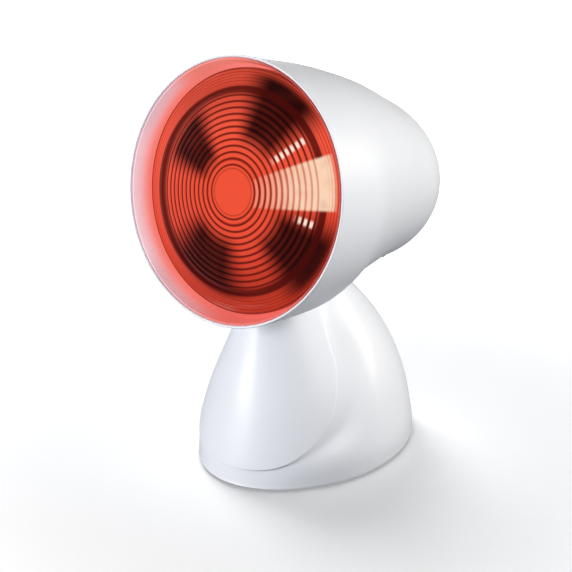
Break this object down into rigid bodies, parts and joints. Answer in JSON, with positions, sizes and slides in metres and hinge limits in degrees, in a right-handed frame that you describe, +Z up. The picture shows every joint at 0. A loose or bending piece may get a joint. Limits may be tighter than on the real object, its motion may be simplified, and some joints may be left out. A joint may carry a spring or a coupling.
{
  "type": "infrared heat therapy lamp",
  "caption": "Table infrared heat lamp: bullet-shaped shade with a ringed red reflector bulb, tilting on an oval weighted foot with a leaf-shaped front panel.",
  "frame": {"origin": "centre of the bounding box on the table", "axes": "+Z up, -Y towards the front of the lamp, +X to the right seen from the front"},
  "size_m": [0.1344, 0.1671, 0.2238],
  "materials": {
    "white_shell": "glossy moulded white",
    "white_panel": "satin moulded white",
    "liner": "smooth white enamel",
    "red_glass": "pressed red glass with concentric rings",
    "silvered_glass": "silvered on the inside",
    "clear_glass": "clear",
    "bulb_metal": "drawn sheet",
    "filament": "tungsten wire",
    "ceramic": "unglazed white porcelain",
    "brass": "plain",
    "steel": "zinc plated",
    "sheet_aluminium": "bright sheet",
    "cast_iron": "black coated",
    "grey_plastic": "glass-filled, matt",
    "black_plastic": "fine matt",
    "rubber": "soft matt",
    "wire_sleeve": "glass-fibre sleeve"
  },
  "bodies": {
    "foot": {"base_shell": "white_shell", "front_panel": "white_panel", "back_panel": "white_panel", "panel_screws": "steel", "bottom_plate": "grey_plastic", "ballast_weight": "cast_iron", "weight_screws": "steel", "rubber_feet": "rubber", "base_screws": "steel", "neck_post": "grey_plastic", "post_screws": "steel", "pivot_pins": "steel", "friction_washers": "brass", "spring_washers": "steel", "inlet_socket": "black_plastic", "inlet_pins": "steel", "switch_housing": "black_plastic", "switch_terminals": "brass", "terminal_block": "ceramic", "terminal_screws": "brass", "mains_wires": "wire_sleeve", "riser_cable": "wire_sleeve", "cable_clip": "steel"},
    "head": {"head_shell": "white_shell", "shade_liner": "liner", "bulb_lens": "red_glass", "bulb_reflector": "silvered_glass", "bulb_skirt": "bulb_metal", "bulb_cap": "bulb_metal", "bulb_insulator": "black_plastic", "bulb_contact": "brass", "filament": "filament", "filament_stem": "clear_glass", "lampholder_body": "ceramic", "lampholder_sleeve": "brass", "lampholder_contact": "brass", "holder_bracket": "steel", "holder_screws": "steel", "bracket_screws": "steel", "heat_shield": "sheet_aluminium", "thermal_cutout": "black_plastic", "head_wires": "wire_sleeve", "tilt_yoke": "steel", "yoke_screws": "steel"},
    "rocker": {"switch_rocker": "black_plastic"}
  },
  "joints": [
    {"name": "head_tilt", "type": "hinge", "parent": "foot", "child": "head", "pos_m": [0, 0.00465, 0.1015], "axis": [-1, 0, 0], "range_deg": [0, 28]},
    {"name": "rocker_tip", "type": "hinge", "parent": "foot", "child": "rocker", "pos_m": [0, 0.04217, 0.04165], "axis": [-1, 0, 0], "range_deg": [0, 14]}
  ]
}
